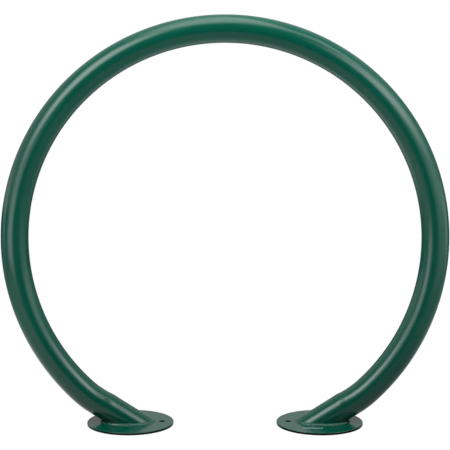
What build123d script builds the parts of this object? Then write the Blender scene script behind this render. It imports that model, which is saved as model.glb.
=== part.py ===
from build123d import *
from math import acos, cos, degrees, radians, sin, tan
import os

# Surface-mount hoop bike rack: a bent steel tube, open at the bottom, whose two ends are welded
# to round base plates. Millimetres. The origin is on the ground midway between the plates,
# X runs across the hoop, Y from its front face to its back face, Z is up.

os.makedirs("parts", exist_ok=True)

# Tube: 2 in Schedule 40 pipe
TUBE_DIAMETER = 60.325
TUBE_WALL = 3.91

# Base plates: 3/16 in steel discs with three anchor holes each
PLATE_DIAMETER = 190.5
PLATE_THICKNESS = 4.7625
RIM_ROUND = 1.2
UNDERSIDE_BREAK = 0.4
ANCHOR_CIRCLE_DIAMETER = 139.7
ANCHOR_HOLE_DIAMETER = 13.0
ANCHOR_HOLE_COUNT = 3
HOLE_EDGE_ROUND = 0.5

# Hoop centre line: a 36 in circle, a tighter bend at each end, then a straight leg to the plate
HOOP_RADIUS = 457.2
HOOP_CENTRE_HEIGHT = 407.6
END_BEND_RADIUS = 203.2
LEG_SLOPE = 32.0
FOOT_X = 209.0

# Weld beads. A reach is how far a bead's edge stands outside the tube's footprint: the toe is
# under the tube's top, the heel under its overhang, and the sides are to the front and back.
BEAD_HEIGHT = 3.6
BEAD_TOE_REACH = 0.8
BEAD_HEEL_REACH = 10.0
BEAD_SIDE_REACH = 6.5
BEAD_CROWN = 1.0
CROWN_SHARE = 0.45
BEAD_TOP_INSET = 0.6

tube_radius = TUBE_DIAMETER / 2
slope = radians(LEG_SLOPE)
centre_rise = HOOP_CENTRE_HEIGHT - PLATE_THICKNESS

# The leg's line passes closer to the hoop's centre than the circle does. The end bend takes up
# the difference, which fixes the angle that it turns and where the straight leg begins.
leg_offset = FOOT_X * sin(slope) + centre_rise * cos(slope)
bend_inset = HOOP_RADIUS - END_BEND_RADIUS
end_bend = acos(1 - (HOOP_RADIUS - leg_offset) / bend_inset)
leg_length = centre_rise * sin(slope) - FOOT_X * cos(slope) + bend_inset * sin(end_bend)
end_arc = degrees(end_bend)
main_arc = 360 - 2 * (LEG_SLOPE + end_arc)

# Each leg is drawn past the plate's top, so that the mitre cut leaves a full oval.
mitre_stock = 1.2 * TUBE_DIAMETER
foot_half_length = tube_radius / sin(slope)


def on_left_leg(distance):
    """Point on the left leg's centre line, a distance up the leg from the plate's top."""
    return (-FOOT_X - distance * cos(slope), PLATE_THICKNESS + distance * sin(slope))


with BuildLine(Plane.XZ) as centre_line:
    left_leg = Line(on_left_leg(-mitre_stock), on_left_leg(leg_length))
    left_bend = JernArc(left_leg @ 1, left_leg % 1, END_BEND_RADIUS, -end_arc)
    crown = JernArc(left_bend @ 1, left_bend % 1, HOOP_RADIUS, -main_arc)
    right_bend = JernArc(crown @ 1, crown % 1, END_BEND_RADIUS, -end_arc)
    right_leg = Line(right_bend @ 1, right_bend @ 1 + (right_bend % 1) * left_leg.length)

tube_end_plane = Plane(origin=left_leg @ 0, z_dir=left_leg % 0)

with BuildPart() as hoop_tube:
    with BuildSketch(tube_end_plane):
        Circle(tube_radius)
        Circle(tube_radius - TUBE_WALL, mode=Mode.SUBTRACT)
    sweep(path=centre_line.line)
    split(bisect_by=Plane.XY.offset(PLATE_THICKNESS), keep=Keep.TOP)

hoop_tube.part.label = "hoop_tube"
export_step(hoop_tube.part, "parts/hoop_tube.step")

left_plate_plane = Plane((-FOOT_X, 0, 0))

with BuildPart() as left_base_plate:
    with BuildSketch(left_plate_plane):
        Circle(PLATE_DIAMETER / 2)
    extrude(amount=PLATE_THICKNESS)
    with Locations(left_plate_plane.offset(PLATE_THICKNESS)):
        with PolarLocations(ANCHOR_CIRCLE_DIAMETER / 2, ANCHOR_HOLE_COUNT):
            Hole(ANCHOR_HOLE_DIAMETER / 2)
    top_edges = edges().group_by(Axis.Z)[-1].sort_by(SortBy.LENGTH)
    underside_rim = edges().group_by(Axis.Z)[0].sort_by(SortBy.LENGTH)[-1]
    fillet(top_edges[-1], RIM_ROUND)
    fillet(top_edges[:-1], HOLE_EDGE_ROUND)
    chamfer(underside_rim, UNDERSIDE_BREAK)

left_base_plate.part.label = "left_base_plate"
export_step(left_base_plate.part, "parts/left_base_plate.step")

with BuildPart() as right_base_plate:
    mirror(left_base_plate.part, about=Plane.YZ)

right_base_plate.part.label = "right_base_plate"
export_step(right_base_plate.part, "parts/right_base_plate.step")

# The bead follows the leg's oval, which moves outward by the lean as it rises up the slope.
# Half way up, the crown swells the bead beyond a straight line from its edge to the tube.
lean = BEAD_HEIGHT / tan(slope)
top_toe = -lean - BEAD_TOP_INSET
top_heel = lean - BEAD_TOP_INSET
bead_ovals = (
    # height, toe reach, heel reach, side reach
    (0, BEAD_TOE_REACH, BEAD_HEEL_REACH, BEAD_SIDE_REACH),
    (
        CROWN_SHARE * BEAD_HEIGHT,
        BEAD_TOE_REACH + CROWN_SHARE * (top_toe - BEAD_TOE_REACH) + BEAD_CROWN,
        BEAD_HEEL_REACH + CROWN_SHARE * (top_heel - BEAD_HEEL_REACH) + BEAD_CROWN,
        BEAD_SIDE_REACH * (1 - CROWN_SHARE) + BEAD_CROWN,
    ),
    (BEAD_HEIGHT, top_toe, top_heel, -BEAD_TOP_INSET),
)

# The tube's outside as a solid bar, to cut the bead back to it
with BuildPart() as tube_envelope:
    with BuildSketch(tube_end_plane):
        Circle(tube_radius)
    sweep(path=centre_line.line)

with BuildPart() as left_weld_bead:
    for height, toe, heel, side in bead_ovals:
        oval_centre = (-FOOT_X + (toe - heel) / 2, 0, PLATE_THICKNESS + height)
        with BuildSketch(Plane(oval_centre)):
            Ellipse(foot_half_length + (toe + heel) / 2, tube_radius + side)
    loft()
    add(tube_envelope.part, mode=Mode.SUBTRACT)

left_weld_bead.part.label = "left_weld_bead"
export_step(left_weld_bead.part, "parts/left_weld_bead.step")

with BuildPart() as right_weld_bead:
    mirror(left_weld_bead.part, about=Plane.YZ)

right_weld_bead.part.label = "right_weld_bead"
export_step(right_weld_bead.part, "parts/right_weld_bead.step")
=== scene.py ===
import math
import random

import bpy
import numpy as np
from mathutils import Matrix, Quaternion, Vector


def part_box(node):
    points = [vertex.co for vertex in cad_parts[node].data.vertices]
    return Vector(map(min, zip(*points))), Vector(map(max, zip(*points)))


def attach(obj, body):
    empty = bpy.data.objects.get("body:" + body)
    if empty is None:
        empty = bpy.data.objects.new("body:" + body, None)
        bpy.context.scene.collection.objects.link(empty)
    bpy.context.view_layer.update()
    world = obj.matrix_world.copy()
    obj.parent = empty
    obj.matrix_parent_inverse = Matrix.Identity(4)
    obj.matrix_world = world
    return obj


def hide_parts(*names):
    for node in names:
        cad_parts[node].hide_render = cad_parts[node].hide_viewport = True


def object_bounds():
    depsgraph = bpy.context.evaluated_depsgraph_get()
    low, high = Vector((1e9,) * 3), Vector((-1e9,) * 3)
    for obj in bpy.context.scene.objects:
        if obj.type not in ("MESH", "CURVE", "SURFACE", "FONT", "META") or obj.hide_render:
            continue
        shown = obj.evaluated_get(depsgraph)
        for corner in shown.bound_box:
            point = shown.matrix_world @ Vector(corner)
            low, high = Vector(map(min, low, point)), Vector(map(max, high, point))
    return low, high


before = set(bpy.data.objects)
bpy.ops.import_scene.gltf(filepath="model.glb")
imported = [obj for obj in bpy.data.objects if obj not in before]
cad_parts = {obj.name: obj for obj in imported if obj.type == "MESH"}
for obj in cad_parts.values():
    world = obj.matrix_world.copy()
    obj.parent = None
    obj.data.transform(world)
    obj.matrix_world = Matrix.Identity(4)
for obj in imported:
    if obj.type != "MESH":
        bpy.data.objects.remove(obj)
cad_low, cad_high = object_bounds()

# ---------------------------------------------------------------- sizes, in metres
MM = 0.001
TUBE_WALL = 3.91 * MM
LEG_SLOPE = math.radians(32.0)
END_BEND_RADIUS = 203.2 * MM

tube_low, tube_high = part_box("hoop_tube")
plate_low, plate_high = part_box("left_base_plate")
PLATE_TOP = plate_high.z
FOOT_X = -(plate_low.x + plate_high.x) / 2
TUBE_RADIUS = (tube_high.y - tube_low.y) / 2
HOOP_RADIUS = (tube_high.x - tube_low.x) / 2 - TUBE_RADIUS
HOOP_CENTRE_Z = tube_high.z - TUBE_RADIUS - HOOP_RADIUS

# The end bend takes up the difference between the hoop's circle and the leg's line.
centre_rise = HOOP_CENTRE_Z - PLATE_TOP
leg_offset = FOOT_X * math.sin(LEG_SLOPE) + centre_rise * math.cos(LEG_SLOPE)
bend_inset = HOOP_RADIUS - END_BEND_RADIUS
END_BEND = math.acos(1 - (HOOP_RADIUS - leg_offset) / bend_inset)
LEG_LENGTH = (
    centre_rise * math.sin(LEG_SLOPE)
    - FOOT_X * math.cos(LEG_SLOPE)
    + bend_inset * math.sin(END_BEND)
)
UP_LEG = np.array([-math.cos(LEG_SLOPE), math.sin(LEG_SLOPE)])


def smoothstep(x):
    """0 up to x = 0, 1 from x = 1, and smooth between."""
    t = np.clip(x, 0, 1)
    return t * t * (3 - 2 * t)


def add_object(name, data):
    obj = bpy.data.objects.new(name, data)
    bpy.context.scene.collection.objects.link(obj)
    return obj


# ---------------------------------------------------------------- node helper
class Nodes:
    """Short helper for building the node tree of a new material or world."""

    def __init__(self, owner):
        self.owner = owner
        owner.use_nodes = True
        self.tree = owner.node_tree
        self.tree.nodes.clear()

    def add(self, kind, inputs=None, **settings):
        node = self.tree.nodes.new(kind)
        for key, value in settings.items():
            setattr(node, key, value)
        for key, value in (inputs or {}).items():
            if isinstance(value, bpy.types.NodeSocket):
                self.tree.links.new(value, node.inputs[key])
            else:
                node.inputs[key].default_value = value
        return node

    def math(self, operation, a, b=0.0, c=0.0):
        return self.add("ShaderNodeMath", {0: a, 1: b, 2: c}, operation=operation).outputs[0]

    def times(self, a, b):
        return self.math("MULTIPLY", a, b)

    def minus(self, a, b):
        return self.math("SUBTRACT", a, b)

    def size_of(self, a):
        return self.math("ABSOLUTE", a)

    def axes(self, vector):
        return self.add("ShaderNodeSeparateXYZ", {0: vector}).outputs

    def distance(self, a, b):
        node = self.add("ShaderNodeVectorMath", {0: a, 1: b}, operation="DISTANCE")
        return node.outputs["Value"]

    def noise(self, where, scale, detail):
        inputs = {"Vector": where, "Scale": scale, "Detail": detail}
        return self.add("ShaderNodeTexNoise", inputs).outputs[0]

    def ramp(self, value, low, high, start, end):
        """value remapped from low..high to start..end, smoothly and clamped."""
        node = self.add(
            "ShaderNodeMapRange",
            {0: value, 1: low, 2: high, 3: start, 4: end},
            interpolation_type="SMOOTHSTEP",
        )
        return node.outputs[0]

    def mix(self, share, a, b):
        """Colour a where share is 0 and colour b where it is 1."""
        node = self.add("ShaderNodeMix", data_type="RGBA")
        for socket, value in ((node.inputs[0], share), (node.inputs[6], a), (node.inputs[7], b)):
            if isinstance(value, bpy.types.NodeSocket):
                self.tree.links.new(value, socket)
            elif isinstance(value, tuple):
                socket.default_value = (*value, 1.0)
            else:
                socket.default_value = value
        return node.outputs[2]


# ---------------------------------------------------------------- materials
POWDER_GREEN = (0.0012, 0.095, 0.060)
POWDER_GREEN_DEEP = (0.0010, 0.085, 0.0535)
# Near-black colour of the painted shade: in the weld's hollows, under the overhang and on the
# plate's walls
PAINTED_SHADE = (0.0003, 0.006, 0.004)
BLANK_INK = (0.21, 0.33, 0.31)
WHITE = (1, 1, 1, 1)

# Noise scale and detail, per metre of the piece
DRIFT_NOISE = (9.0, 3.0)
MOTTLE_NOISE = (70.0, 4.0)
WAVE_NOISE = (95.0, 1.0)
FINE_NOISE = (620.0, 1.5)

COAT_SHINE = 0.5
GLOSS_RANGE = (0.145, 0.185)
FINE_SHARE = 0.10
PEEL_DEPTH = 0.02 * MM
TUBE_PEEL = 0.6
WELD_PEEL = 0.6
PLATE_PEEL = 0.15

# The weld's painted shade, dark and dull, begins this far beyond the foot's middle, under the
# tube's overhang.
OVERHANG_SHADE_BEGINS, OVERHANG_SHADE_FULL = 54 * MM, 64 * MM
OVERHANG_SHADE_DULLING = 0.42
# Share of painted shade in the weld's hollows
HOLLOW_PAINTED_SHADE = 0.6

# Shine taken off the plate's walls with their painted shade
WALL_SHADE_DULLING = 0.45
# A wall inside this radius is a hole's, and one this far off the middle line is an outer hole's.
HOLE_ZONE_RADIUS = 86 * MM
OUTER_HOLE_OFFSET = 40 * MM

# Blank pale strip printed on the right plate: its middle, from the plate's, and its size
STRIP_FROM_PLATE = (-18 * MM, -56 * MM)
STRIP_SIZE = (44 * MM, 9 * MM)
STRIP_SOFT_EDGE = 1.0 * MM


def powder_coat(name, peel, shade_and_print=None):
    """Gloss powder coat: slow waves under a fine grain, with slight drift in tone and gloss.

    peel scales the bumps. shade_and_print takes the nodes, colour and shine, and returns them with
    a piece's painted shade and any print added."""
    n = Nodes(bpy.data.materials.new(name))
    where = n.add("ShaderNodeTexCoord").outputs["Object"]
    drift = n.noise(where, *DRIFT_NOISE)
    mottle = n.noise(where, *MOTTLE_NOISE)
    fine = n.noise(where, *FINE_NOISE)
    wave = n.noise(where, *WAVE_NOISE)

    tone = n.math("ADD", n.ramp(drift, 0.3, 0.7, 0.0, 0.6), n.ramp(mottle, 0.35, 0.65, 0.0, 0.4))
    colour, shine = n.mix(tone, POWDER_GREEN_DEEP, POWDER_GREEN), COAT_SHINE
    if shade_and_print:
        colour, shine = shade_and_print(n, colour, shine)

    height = n.math("ADD", n.times(fine, FINE_SHARE), wave)
    bump = n.add(
        "ShaderNodeBump", {"Strength": 1.0, "Distance": PEEL_DEPTH * peel, "Height": height}
    )
    shader = n.add(
        "ShaderNodeBsdfPrincipled",
        {
            "Base Color": colour,
            "Roughness": n.ramp(mottle, 0.3, 0.7, *GLOSS_RANGE),
            "IOR": 1.5,
            "Specular IOR Level": shine,
            "Normal": bump.outputs[0],
        },
    )
    n.add("ShaderNodeOutputMaterial", {"Surface": shader.outputs[0]})
    return n.owner


def weld_painted_shade(n, colour, shine):
    """Painted shade on the weld: darker in the hollows between the ripples, and dark and dull
    under the overhang.
    """
    geometry = n.add("ShaderNodeNewGeometry").outputs
    # Painted shade: the weld's hollows darkened by their curvature
    crease_shade = n.ramp(geometry["Pointiness"], 0.44, 0.5, HOLLOW_PAINTED_SHADE, 0.0)
    colour = n.mix(crease_shade, colour, PAINTED_SHADE)
    x = n.axes(geometry["Position"])[0]
    beyond_foot = n.minus(n.size_of(x), FOOT_X)
    # Painted shade under the tube's overhang: darker colour and less shine
    overhang_shade = n.ramp(beyond_foot, OVERHANG_SHADE_BEGINS, OVERHANG_SHADE_FULL, 0.0, 1.0)
    return n.mix(overhang_shade, colour, PAINTED_SHADE), n.minus(shine, n.times(overhang_shade, OVERHANG_SHADE_DULLING))


def plate_painted_shade_and_strip(n, colour, shine):
    """Painted shade, near-black and dull, on the rim and in the inner hole, and the blank strip.

    The outer holes, off the line between the plates, have no painted shade. The strip lies on the
    right plate only."""
    geometry = n.add("ShaderNodeNewGeometry").outputs
    place = n.axes(geometry["Position"])
    upright = n.axes(geometry["True Normal"])[2]
    # Painted shade on the upright walls of the rim and the inner hole; the outer holes are left
    # out below
    wall = n.ramp(n.size_of(upright), 0.15, 0.4, 1.0, 0.0)
    from_foot = n.minus(n.size_of(place[0]), FOOT_X)
    radius_squared = n.math("MULTIPLY_ADD", from_foot, from_foot, n.times(place[1], place[1]))
    in_hole = n.math("LESS_THAN", n.math("SQRT", radius_squared), HOLE_ZONE_RADIUS)
    off_line = n.math("GREATER_THAN", n.size_of(place[1]), OUTER_HOLE_OFFSET)
    wall = n.times(wall, n.minus(1.0, n.times(in_hole, off_line)))
    colour = n.mix(wall, colour, PAINTED_SHADE)
    shine = n.minus(shine, n.times(wall, WALL_SHADE_DULLING))

    on_strip = n.ramp(upright, 0.9, 0.95, 0.0, 1.0)
    for axis, middle in enumerate((FOOT_X + STRIP_FROM_PLATE[0], STRIP_FROM_PLATE[1])):
        off = n.size_of(n.minus(place[axis], middle))
        half = STRIP_SIZE[axis] / 2
        on_strip = n.times(on_strip, n.ramp(off, half - STRIP_SOFT_EDGE, half, 1.0, 0.0))
    return n.mix(on_strip, colour, BLANK_INK), shine


# ---------------------------------------------------------------- mesh helpers
def mesh_object(name, points, faces, material, sharp_rings):
    """A smooth-shaded object, with sharp edges along the given rings of vertex numbers."""
    mesh = bpy.data.meshes.new(name)
    mesh.from_pydata([tuple(p) for p in points], [], faces)
    mesh.validate()
    mesh.polygons.foreach_set("use_smooth", [True] * len(mesh.polygons))
    mesh.materials.append(material)
    sharp = {frozenset(pair) for ring in sharp_rings for pair in zip(ring, ring[1:] + ring[:1])}
    for edge in mesh.edges:
        if frozenset(edge.vertices) in sharp:
            edge.use_edge_sharp = True
    mesh.update()
    return add_object(name, mesh)


def number_rings(count, size):
    """Vertex numbers of count rings of size points each."""
    return [list(range(i * size, (i + 1) * size)) for i in range(count)]


def ring_faces(first, second, flip=False):
    """Quads between two closed rings of vertex numbers."""
    quads = []
    count = len(first)
    for i in range(count):
        j = (i + 1) % count
        quad = (first[i], first[j], second[j], second[i])
        quads.append(quad[::-1] if flip else quad)
    return quads


# ---------------------------------------------------------------- hoop tube
AROUND = 96
CROWN_STEP = 7.5 * MM
LEG_STEP = 2.5 * MM
BORE_STEP_SCALE = 3.0
MITRE_STATIONS = 24
MITRE_CLEARANCE = 3 * MM
PAST_THE_BEND = 1.0

# Shoulder on the inside of the curve. Places are distances up the leg from the plate.
SHOULDER = 1.2 * MM
SHOULDER_ENDS, SHOULDER_RISE = 78 * MM, 17 * MM
SHOULDER_CREST = 60 * MM
CREST_SHARE, CREST_FALL = 0.45, 14 * MM
RUN_OUT_SHARE, RUN_OUT_FALL = 0.55, 90 * MM


def shoulder_height(along):
    """How far the tube's inside line stands proud, by distance up the leg from the plate.

    The end of the tight bend leaves a small shoulder on the inside of the curve."""
    rise = smoothstep((SHOULDER_ENDS - along) / SHOULDER_RISE)
    below_crest = SHOULDER_CREST - along
    crest = CREST_SHARE * (1 - smoothstep(below_crest / CREST_FALL))
    run_out = RUN_OUT_SHARE * (1 - smoothstep(below_crest / RUN_OUT_FALL))
    return SHOULDER * rise * (crest + run_out)


def tube_stations(step_scale):
    """Left-half stations from above the mitre to the crown: (centre x, centre z, turn, along).

    along is the distance up the leg and bend, and PAST_THE_BEND on the crown."""
    stations = []
    leg_turn = math.pi - LEG_SLOPE
    leg_start = np.array([-FOOT_X, PLATE_TOP])
    first = TUBE_RADIUS / math.tan(LEG_SLOPE) + MITRE_CLEARANCE
    count = max(2, int((LEG_LENGTH - first) / (LEG_STEP * step_scale)))
    for along in np.linspace(first, LEG_LENGTH, count):
        centre = leg_start + UP_LEG * along
        stations.append((centre[0], centre[1], -leg_turn, along))

    bend_turn = leg_turn - END_BEND
    hub = bend_inset * np.array([-math.sin(bend_turn), math.cos(bend_turn)])
    hub = hub + np.array([0, HOOP_CENTRE_Z])
    count = max(3, int(END_BEND * END_BEND_RADIUS / (LEG_STEP * step_scale)))
    for turn in np.linspace(leg_turn, bend_turn, count)[1:]:
        centre = hub + END_BEND_RADIUS * np.array([-math.sin(turn), math.cos(turn)])
        along = LEG_LENGTH + END_BEND_RADIUS * (leg_turn - turn)
        stations.append((centre[0], centre[1], -turn, along))

    count = int(bend_turn * HOOP_RADIUS / (CROWN_STEP * step_scale))
    for turn in np.linspace(bend_turn, 0, count)[1:]:
        centre = HOOP_RADIUS * np.array([-math.sin(turn), math.cos(turn)])
        stations.append((centre[0], centre[1] + HOOP_CENTRE_Z, -turn, PAST_THE_BEND))
    return stations


def tube_rings(radius, step_scale, shaped):
    """Rings of points of one tube surface, from the left plate over the top to the right plate."""
    around = np.arange(AROUND) * 2 * math.pi / AROUND
    outward, sideways = np.cos(around), np.sin(around)
    inside_share = ((1 - outward) / 2) ** 1.5

    def reach_at(along):
        return radius + (shoulder_height(along) * inside_share if shaped else 0.0)

    def ring(x, z, turn, along):
        reach = reach_at(along)
        side = reach * outward
        points = [x + side * math.sin(turn), -reach * sideways, z + side * math.cos(turn)]
        return np.stack(points, axis=1)

    stations = tube_stations(step_scale)
    first_along = stations[0][3]
    # Each line of the tube meets the plate at its own distance down the leg.
    meet = radius * outward / math.tan(LEG_SLOPE)
    rings = []
    for share in np.linspace(0, 1, MITRE_STATIONS, endpoint=False):
        along = meet + (first_along - meet) * share
        reach = reach_at(along)
        x = -FOOT_X + along * UP_LEG[0] - reach * outward * math.sin(LEG_SLOPE)
        z = PLATE_TOP + along * UP_LEG[1] - reach * outward * math.cos(LEG_SLOPE)
        if share == 0:
            z = np.full(AROUND, PLATE_TOP)
        rings.append(np.stack([x, -reach * sideways, z], axis=1))
    left = rings + [ring(*station) for station in stations]
    right = [points * np.array([-1, 1, 1]) for points in left[-2::-1]]
    return left + right


def build_tube(material):
    outer = tube_rings(TUBE_RADIUS, 1.0, True)
    bore = tube_rings(TUBE_RADIUS - TUBE_WALL, BORE_STEP_SCALE, False)
    numbers = number_rings(len(outer) + len(bore), AROUND)
    outer_rings, bore_rings = numbers[: len(outer)], numbers[len(outer) :]
    faces = []
    for a, b in zip(outer_rings, outer_rings[1:]):
        faces += ring_faces(a, b)
    for a, b in zip(bore_rings, bore_rings[1:]):
        faces += ring_faces(a, b, flip=True)
    faces += ring_faces(bore_rings[0], outer_rings[0])
    faces += ring_faces(outer_rings[-1], bore_rings[-1])
    ends = [outer_rings[0], outer_rings[-1], bore_rings[0], bore_rings[-1]]
    return mesh_object("hoop_tube_coated", np.concatenate(outer + bore), faces, material, ends)


# ---------------------------------------------------------------- weld beads
BEAD_AROUND = 720
BEAD_ACROSS = 18
BEAD_TOE_REACH = 0.8 * MM
BEAD_HEEL_REACH = 10.0 * MM
BEAD_SIDE_REACH = 6.5 * MM
BEAD_HEIGHT = 3.5 * MM
BEAD_BULGE = 1.1 * MM
BEAD_SINK = 0.25 * MM
RIPPLE_PITCH = 3.6 * MM
RIPPLE_HEIGHT = 0.5 * MM
RIPPLE_BOW = 2.4

# Places round the bead as cosines of the angle from the toe: 1 at the toe, -1 at the heel
CALM_ENDS, CALM_FADE = -0.45, 0.25
TOE_FADE_BEGINS, TOE_FADE = 0.8, 0.18

# Stop craters: degrees round from the toe, share of the way up, radius, depth
LEFT_CRATERS = ((272, 0.5, 3.2 * MM, 1.3 * MM), (304, 0.6, 1.6 * MM, 0.6 * MM))
RIGHT_CRATERS = ((290, 0.5, 2.0 * MM, 0.5 * MM),)


def wander(rng, count, waves, size):
    """A closed random curve: a sum of a few whole waves round the bead."""
    turn = np.arange(count) * 2 * math.pi / count
    curve = np.zeros(count)
    for k in waves:
        curve += rng.uniform(0.4, 1.0) * np.sin(k * turn + rng.uniform(0, 2 * math.pi))
    return size * curve / math.sqrt(len(waves))


def build_bead(name, side, seed, calm, craters, material):
    """Fillet weld round one foot. side is -1 for the left plate and 1 for the right one.

    calm is how much of the ripple is left towards the heel."""
    rng = random.Random(seed)
    turn = np.arange(BEAD_AROUND) * 2 * math.pi / BEAD_AROUND
    level = 0 * turn
    half_length = TUBE_RADIUS / math.sin(LEG_SLOPE)

    # Root on the tube's oval, edge on the plate, and edge on the tube, which rises up the slope
    root = np.stack([half_length * np.cos(turn), TUBE_RADIUS * np.sin(turn), level], axis=1)
    reach_x = half_length + (BEAD_TOE_REACH + BEAD_HEEL_REACH) / 2
    shift = (BEAD_TOE_REACH - BEAD_HEEL_REACH) / 2
    reach_y = TUBE_RADIUS + BEAD_SIDE_REACH
    plate_edge = np.stack([reach_x * np.cos(turn) + shift, reach_y * np.sin(turn), level], axis=1)
    rippled = calm + (1 - calm) * smoothstep((np.cos(turn) - CALM_ENDS) / CALM_FADE)
    widen = 1 + rippled * wander(rng, BEAD_AROUND, (5, 9, 14, 23, 31, 44), 0.09)
    plate_edge = root + (plate_edge - root) * widen[:, None]
    height = BEAD_HEIGHT * (1 + rippled * wander(rng, BEAD_AROUND, (4, 7, 13, 19, 37), 0.07))
    lean = height / math.tan(LEG_SLOPE)
    tube_edge = root + np.stack([-lean, level, height], axis=1)
    tube_edge[:, :2] *= 1 - BEAD_SINK / TUBE_RADIUS
    plate_edge[:, 2] = -BEAD_SINK
    root[:, 2] = -BEAD_SINK

    # Which way the bead's face swells: square to it, away from the joint
    along = np.gradient(root, axis=0)
    travel = np.concatenate([[0], np.cumsum(np.linalg.norm(np.diff(root, axis=0), axis=1))])
    face = tube_edge - plate_edge
    swell = np.cross(along, face)
    swell /= np.linalg.norm(swell, axis=1)[:, None]
    outward = plate_edge - root
    flip = np.sign((swell * (outward + np.array([0, 0, 1 * MM]))).sum(axis=1))
    swell *= flip[:, None]

    # Ripples: one ridge per pull of the torch, unevenly spaced, bowed back at the edges
    ridges = int(travel[-1] / RIPPLE_PITCH)
    pace = 2 * math.pi * ridges * (travel / travel[-1])
    pace = pace + wander(rng, BEAD_AROUND, (3, 8, 17, 29), 1.4)
    strength = np.clip(1 + wander(rng, BEAD_AROUND, (2, 5, 11, 21), 0.45), 0.15, 2.0)
    strength *= rippled
    fullness = np.clip(1 + wander(rng, BEAD_AROUND, (4, 9, 16, 27), 0.25), 0.3, 1.8)
    toe_fade = 1 - smoothstep((np.cos(turn) - TOE_FADE_BEGINS) / TOE_FADE)
    strength, fullness = strength * toe_fade, fullness * toe_fade

    across = np.linspace(0, 1, BEAD_ACROSS)[:, None]
    arch = 4 * across * (1 - across)
    bow = RIPPLE_BOW * (2 * across - 1) ** 2
    ripple = RIPPLE_HEIGHT * strength * (0.5 + 0.5 * np.cos(pace + bow)) ** 0.7 * arch**0.6
    bulge = swell * (BEAD_BULGE * fullness * arch)[:, :, None]
    smooth_rows = plate_edge + face * across[:, :, None] + bulge
    dishes = np.zeros(ripple.shape)
    for angle, share, size, depth in craters:
        # A stop crater: a shallow dish with a raised rim, pressed into bead without ripples
        index = int(round(angle / 360 * BEAD_AROUND)) % BEAD_AROUND
        centre = smooth_rows[int(share * (BEAD_ACROSS - 1)), index]
        distance = np.linalg.norm(smooth_rows - centre, axis=2) / size
        ripple = ripple * smoothstep((distance - 1.0) / 0.5)
        dish = -depth * np.exp(-((distance / 0.5) ** 2))
        rim = 0.5 * depth * np.exp(-(((distance - 1) / 0.3) ** 2))
        dishes += (dish + rim) * arch**0.25
    rows = smooth_rows + swell * (ripple + dishes)[:, :, None]

    points = np.concatenate([rows.reshape(-1, 3), root])
    numbers = number_rings(BEAD_ACROSS + 1, BEAD_AROUND)
    faces = []
    for a, b in zip(numbers, numbers[1:] + numbers[:1]):
        faces += ring_faces(a, b)
    points[:, 0] -= FOOT_X
    points[:, 2] += PLATE_TOP
    if side > 0:
        points[:, 0] *= -1
        faces = [face[::-1] for face in faces]
    return mesh_object(name, points, faces, material, [numbers[0], numbers[-2], numbers[-1]])


# ---------------------------------------------------------------- the object
tube = build_tube(powder_coat("powder_coat_tube", TUBE_PEEL))
weld_coat = powder_coat("powder_coat_weld", WELD_PEEL, weld_painted_shade)
left_bead = build_bead(
    "left_weld_ripples", side=-1, seed=11, calm=0.2, craters=LEFT_CRATERS, material=weld_coat
)
right_bead = build_bead(
    "right_weld_ripples", side=1, seed=5, calm=0.9, craters=RIGHT_CRATERS, material=weld_coat
)
for piece, node in (
    (tube, "hoop_tube"),
    (left_bead, "left_weld_bead"),
    (right_bead, "right_weld_bead"),
):
    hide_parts(node)
    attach(piece, "root")

plate_coat = powder_coat("powder_coat_plate", PLATE_PEEL, plate_painted_shade_and_strip)
for name in ("left_base_plate", "right_base_plate"):
    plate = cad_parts[name]
    plate.data.materials.clear()
    plate.data.materials.append(plate_coat)


# ---------------------------------------------------------------- stage and light
def flat_panel(name, size, material):
    """A one-face panel in its own XY plane, (across, upward) in metres."""
    mesh = bpy.data.meshes.new(name)
    corners = ((0, 0), (1, 0), (1, 1), (0, 1))
    points = [((u - 0.5) * size[0], (v - 0.5) * size[1], 0) for u, v in corners]
    mesh.from_pydata(points, [], [(0, 1, 2, 3)])
    uv = mesh.uv_layers.new(name="UVMap")
    for loop, corner in zip(uv.data, corners):
        loop.uv = corner
    mesh.materials.append(material)
    return add_object(name, mesh)


def softbox(name, centre, target, size, radiance, fades, roll=0.0, lights=True, mirrors=True):
    """A glowing panel facing target, unseen by the camera.

    size and fades are (across, upward): its metres, and the share of them that fades out.
    roll turns it in its own plane, in degrees. With lights off it is only seen in reflections,
    and with mirrors off it only gives diffuse light. It hides nothing behind it."""
    n = Nodes(bpy.data.materials.new(name))
    on_panel = n.axes(n.add("ShaderNodeTexCoord").outputs["UV"])
    fade = 1.0
    for axis in (0, 1):
        off = n.size_of(n.minus(on_panel[axis], 0.5))
        fade = n.times(fade, n.ramp(off, 0.5 - fades[axis] / 2, 0.5, 1.0, 0.0))
    back = n.add("ShaderNodeNewGeometry").outputs["Backfacing"]
    strength = n.times(n.minus(1.0, back), n.times(fade, radiance))
    glow = n.add("ShaderNodeEmission", {"Color": WHITE, "Strength": strength})
    clear = n.add("ShaderNodeBsdfTransparent")
    both = n.add("ShaderNodeAddShader", {0: glow.outputs[0], 1: clear.outputs[0]})
    n.add("ShaderNodeOutputMaterial", {"Surface": both.outputs[0]})

    obj = flat_panel(name, size, n.owner)
    obj.location = centre
    obj.rotation_mode = "QUATERNION"
    facing = (Vector(target) - Vector(centre)).to_track_quat("Z", "Y")
    obj.rotation_quaternion = facing @ Quaternion((0, 0, 1), math.radians(roll))
    obj.visible_camera = False
    obj.visible_shadow = False
    obj.visible_diffuse = lights
    obj.visible_glossy = mirrors


RING_MIDDLE = (0, 0, HOOP_CENTRE_Z)
OVERHEAD_HEIGHT = cad_high.z + 1.2
TOP_FILL_HEIGHT = cad_high.z + 0.55

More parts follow.
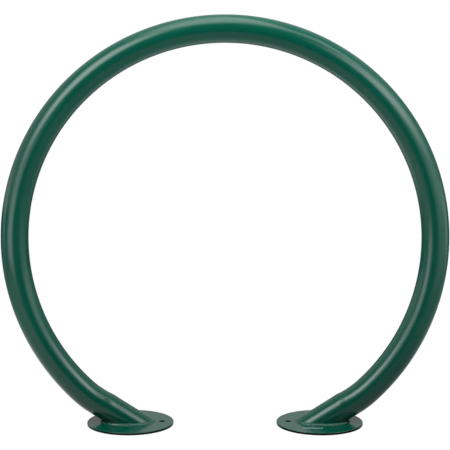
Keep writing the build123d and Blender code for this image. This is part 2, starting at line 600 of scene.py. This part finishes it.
# Panels that light the object and show in it
softbox(
    "overhead_box", (-0.07, -0.42, OVERHEAD_HEIGHT), (-0.07, -0.42, OVERHEAD_HEIGHT - 1),
    size=(1.25, 2.1), radiance=3.0, fades=(0.25, 0.9), roll=-30,
)
softbox(
    "right_box", (0.9, -0.7, 1.15), (0, -0.4, 0.45),
    size=(1.9, 1.08), radiance=4.4, fades=(1.0, 1.0),
)
softbox(
    "right_high_box", (0.62, -0.3, 1.5), RING_MIDDLE,
    size=(0.45, 0.6), radiance=2.6, fades=(0.9, 0.9),
)
softbox(
    "left_side_box", (-1.6, 0.1, 0.5), RING_MIDDLE,
    size=(0.9, 0.9), radiance=0.8, fades=(0.9, 0.9),
)
softbox(
    "right_side_box", (1.6, 0.15, 0.4), RING_MIDDLE,
    size=(0.9, 0.9), radiance=1.2, fades=(0.9, 0.9),
)
# Panels that only show in it
softbox(
    "left_box", (-1.22, -1.24, 1.63), RING_MIDDLE,
    size=(1.8, 2.6), radiance=5.6, fades=(0.9, 0.8), lights=False,
)
softbox(
    "left_low_box", (-1.3, -1.5, 0.2), RING_MIDDLE,
    size=(2.2, 1.8), radiance=2.8, fades=(1.0, 1.0), lights=False,
)
softbox(
    "right_low_box", (1.05, -0.6, 0.6), RING_MIDDLE,
    size=(2.2, 1.7), radiance=1.1, fades=(1.0, 1.0), lights=False,
)
# Panels that only light it, close to the top, so that its green falls off towards the feet
softbox(
    "top_fill", (0, -0.1, TOP_FILL_HEIGHT), (0, -0.1, 0),
    size=(0.9, 0.6), radiance=2.5, fades=(0.5, 0.5), mirrors=False,
)
softbox(
    "front_fill", (-0.75, -0.75, 1.45), (-0.1, 0, 0.8),
    size=(0.9, 0.7), radiance=4.5, fades=(0.5, 0.5), mirrors=False,
)

FLOOR_SIZE = (80.0, 80.0)
FLOOR_DROP = 0.5 * MM
CONTACT_REACH = 30 * MM
# Painted light and shade on the floor off camera: axis, two places along it, and the factor at
# each
FLOOR_FACTORS = (
    (1, -2.6, -0.6, 0.02, 0.46),
    (1, 0.3, 1.4, 1.0, 0.2),
    (0, -0.5, 0.7, 1.2, 0.5),
    (0, -1.1, -0.5, 0.55, 1.0),
    (0, 0.5, 0.8, 1.0, 1.5),
)
# Diffuse rays see the floor brighter, but with a painted shadow round each foot, which is given on
# the right.
FLOOR_BOUNCE = 2.3
FOOT_SHADE = (0.26, -0.12, 0.0)
FOOT_SHADE_DEPTH = 0.95
POOL = (-1.1, -0.6, 0.0)
POOL_LEVEL = 0.35


def build_floor():
    """White glowing floor to the camera, with a painted contact shadow where the object stands.
    Other rays see a grey glow with painted light and shadow.
    """
    n = Nodes(bpy.data.materials.new("floor_white"))
    path = n.add("ShaderNodeLightPath").outputs
    camera_ray, diffuse_ray = path["Is Camera Ray"], path["Is Diffuse Ray"]
    where = n.add("ShaderNodeNewGeometry").outputs["Position"]
    place = n.axes(where)
    beside = n.size_of(place[0])
    # Painted contact shadow for the camera, from ambient occlusion
    ambient = n.add("ShaderNodeAmbientOcclusion", {"Distance": CONTACT_REACH}, samples=8)
    seen = n.ramp(ambient.outputs["AO"], 0.15, 0.6, 0.0, 1.0)

    # Painted light: brighter under and behind the hoop, between its sides
    behind = n.ramp(place[1], -0.35, 0.25, 0.0, 1.0)
    under = n.times(behind, n.ramp(beside, 0.5, 1.1, 1.0, 0.1))
    grey = n.math("ADD", 1.0, under)
    for axis, start, end, at_start, at_end in FLOOR_FACTORS:
        grey = n.times(grey, n.ramp(place[axis], start, end, at_start, at_end))
    mirrored_place = n.add("ShaderNodeCombineXYZ", {0: beside, 1: place[1], 2: 0.0}).outputs[0]
    shade = n.ramp(n.distance(mirrored_place, FOOT_SHADE), 0.1, 0.45, FOOT_SHADE_DEPTH, 0.0)
    grey = n.times(grey, n.minus(1.0, n.times(shade, diffuse_ray)))
    grey = n.times(grey, n.math("ADD", 1.0, n.times(diffuse_ray, FLOOR_BOUNCE - 1)))
    # A painted pool of light off to the left front
    pool = n.ramp(n.distance(where, POOL), 0.2, 0.85, POOL_LEVEL, 0.0)
    grey = n.math("ADD", grey, pool)

    off_camera = n.times(n.minus(1.0, camera_ray), grey)
    strength = n.math("ADD", n.times(camera_ray, seen), off_camera)
    glow = n.add("ShaderNodeEmission", {"Color": WHITE, "Strength": strength})
    n.add("ShaderNodeOutputMaterial", {"Surface": glow.outputs[0]})
    n.owner.cycles.emission_sampling = "NONE"
    floor = flat_panel("floor", FLOOR_SIZE, n.owner)
    floor.location.z = cad_low.z - FLOOR_DROP


STUDIO_GREY = 0.60
# How much of the studio's light is left for diffuse rays
SURROUND_FILL = 0.6
# Dark parts of the studio: azimuth and elevation of the middle, full and faded radius, depth.
# Azimuth 0 is the camera's side and 90 the object's right. The first is the dark room behind
# the camera. Those from 125 round to -155 darken the outline from behind, and the last two are
# high at the sides.
DARK_LOBES = (
    (8, 5, 22, 52, 0.97),
    (125, 5, 12, 38, 0.5),
    (155, 0, 8, 22, 0.8),
    (-155, 0, 8, 22, 0.8),
    (180, 8, 12, 30, 0.25),
    (80, 56, 8, 28, 0.5),
    (-80, 56, 8, 28, 0.5),
)


def build_world():
    """White to the camera. Reflections see a grey studio that is dark behind the camera."""
    world = bpy.data.worlds.new("studio")
    bpy.context.scene.world = world
    n = Nodes(world)
    path = n.add("ShaderNodeLightPath").outputs
    toward = n.add("ShaderNodeTexCoord").outputs["Generated"]

    def lobe(azimuth, elevation, inner, outer):
        """1 well inside a cone round a direction, 0 outside it. Angles in degrees."""
        a, e = math.radians(azimuth), math.radians(elevation)
        axis = (math.sin(a) * math.cos(e), -math.cos(a) * math.cos(e), math.sin(e))
        node = n.add("ShaderNodeVectorMath", {0: toward, 1: axis}, operation="DOT_PRODUCT")
        edge, full = math.cos(math.radians(outer)), math.cos(math.radians(inner))
        return n.ramp(node.outputs["Value"], edge, full, 0.0, 1.0)

    level = STUDIO_GREY
    for azimuth, elevation, inner, outer, depth in DARK_LOBES:
        dark = n.times(lobe(azimuth, elevation, inner, outer), depth)
        level = n.times(level, n.minus(1.0, dark))
    dimmed = n.times(path["Is Diffuse Ray"], 1 - SURROUND_FILL)
    level = n.times(level, n.minus(1.0, dimmed))
    camera_ray = path["Is Camera Ray"]
    strength = n.math("ADD", camera_ray, n.times(n.minus(1.0, camera_ray), level))
    glow = n.add("ShaderNodeBackground", {"Color": WHITE, "Strength": strength})
    n.add("ShaderNodeOutputWorld", {"Surface": glow.outputs[0]})
    world.cycles.sampling_method = "NONE"


build_floor()
build_world()

# ---------------------------------------------------------------- camera
CAMERA_DISTANCE = 3.077
CAMERA_HEIGHT = 0.8645
CAMERA_PITCH = 7.81
CAMERA_LENS = 114.5
SENSOR_WIDTH = 36.0

camera = add_object("camera", bpy.data.cameras.new("camera"))
camera.location = (0, -CAMERA_DISTANCE, CAMERA_HEIGHT)
camera.rotation_euler = (math.radians(90 - CAMERA_PITCH), 0, 0)
camera.data.sensor_width = SENSOR_WIDTH
camera.data.lens = CAMERA_LENS
bpy.context.scene.camera = camera
bpy.context.scene.view_settings.view_transform = "Standard"
